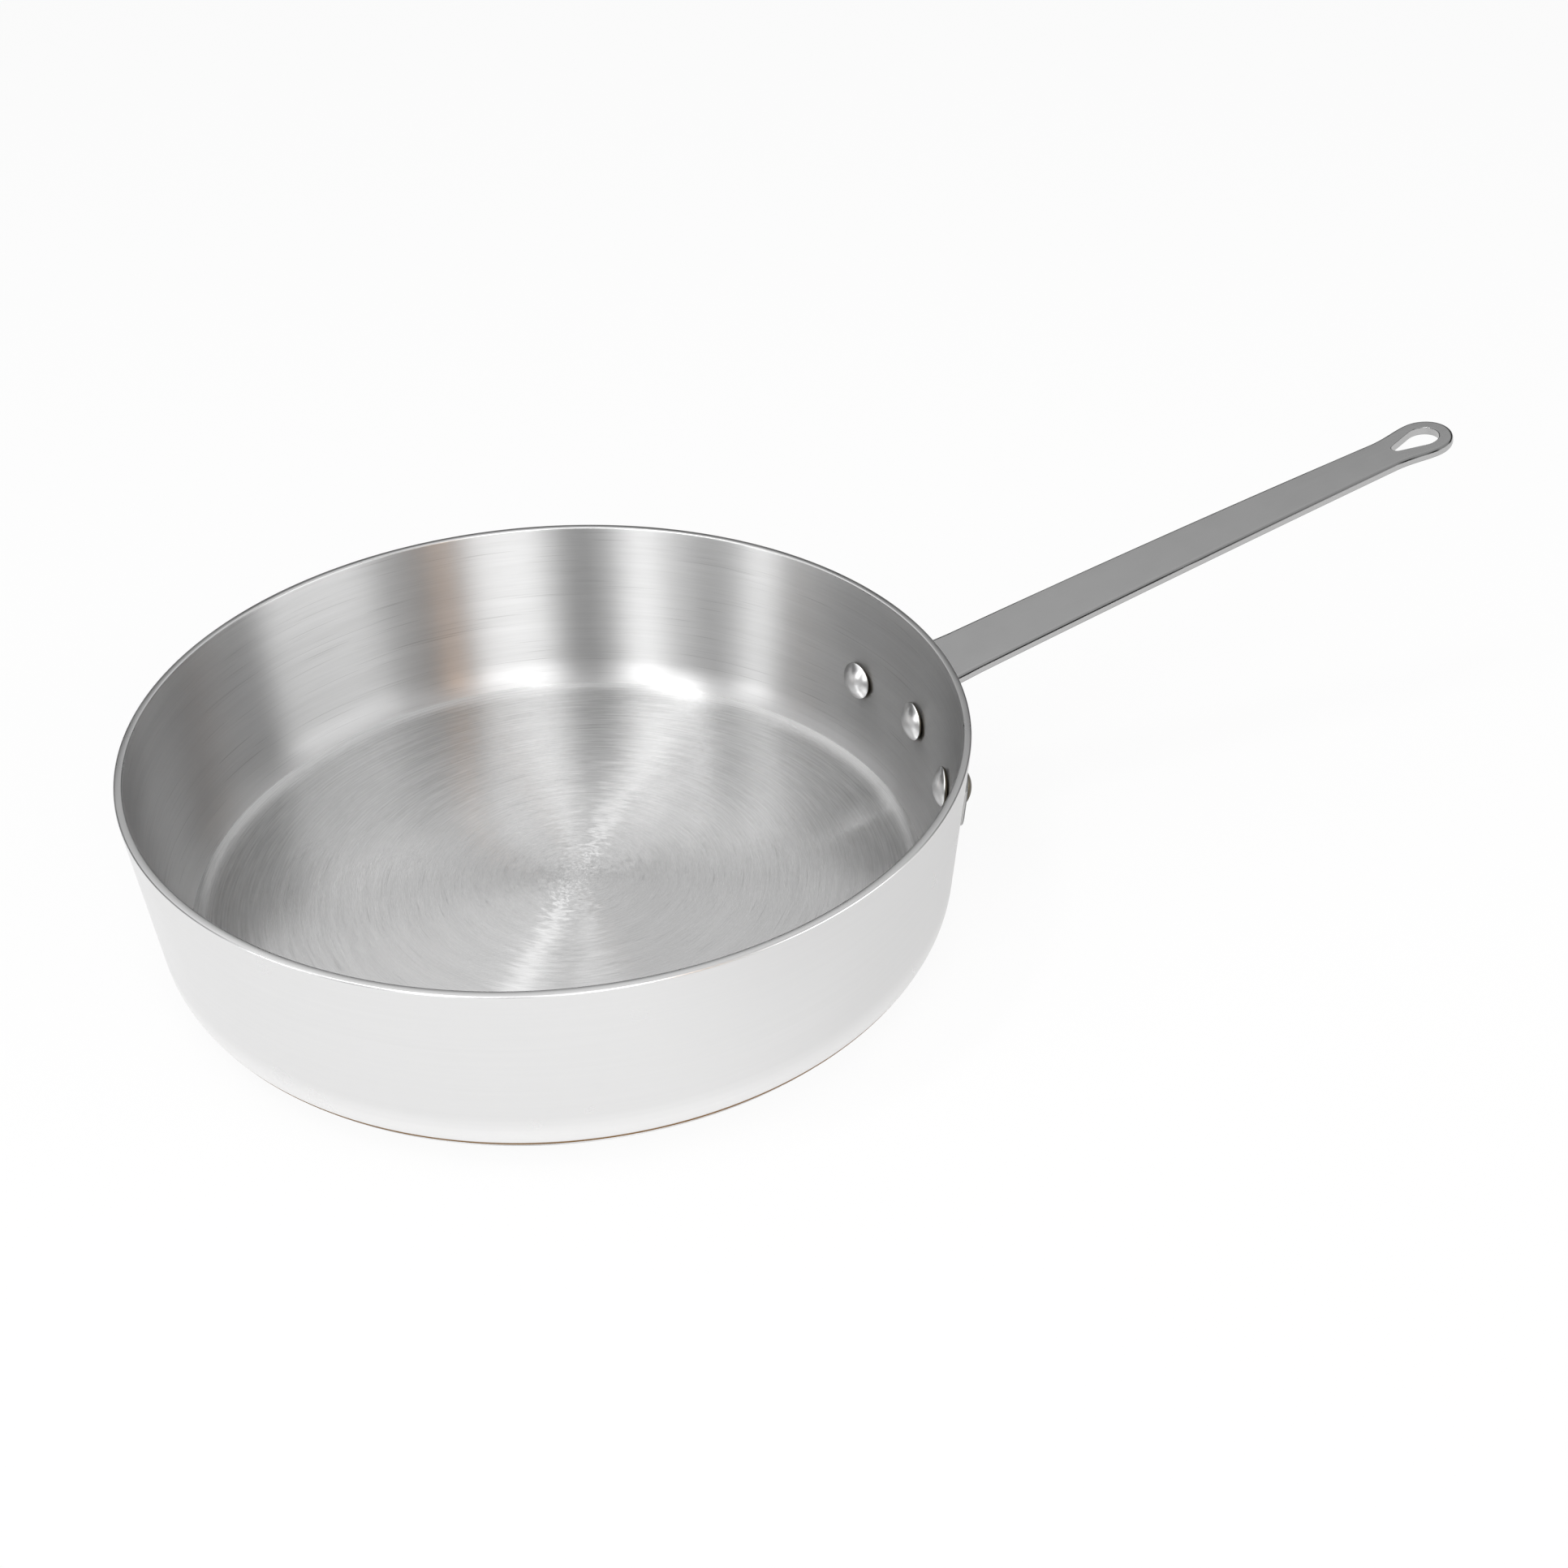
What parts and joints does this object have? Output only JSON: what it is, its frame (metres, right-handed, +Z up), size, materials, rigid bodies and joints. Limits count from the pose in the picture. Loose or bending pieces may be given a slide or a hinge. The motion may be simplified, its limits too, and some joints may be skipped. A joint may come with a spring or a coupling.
{
  "type": "saute pan",
  "caption": "Round saute pan of drawn aluminium with steep sides and a long flat steel handle, riveted on, that rises to a hanging ring; for frying and simmering on a hob.",
  "frame": {"origin": "middle of the base's underside, on the pan's axis", "axes": "+Z up along the pan's axis, +X along the handle away from the pan"},
  "size_m": [0.5335, 0.3046, 0.1252],
  "materials": {
    "brushed_aluminium": "brushed in circles inside, satin outside",
    "plated_steel": "satin plated",
    "rivet_aluminium": "burnished by the rivet set"
  },
  "bodies": {
    "root": {"pan_body": "brushed_aluminium", "handle": "plated_steel", "rivet_left": "rivet_aluminium", "rivet_middle": "rivet_aluminium", "rivet_right": "rivet_aluminium"}
  },
  "joints": []
}
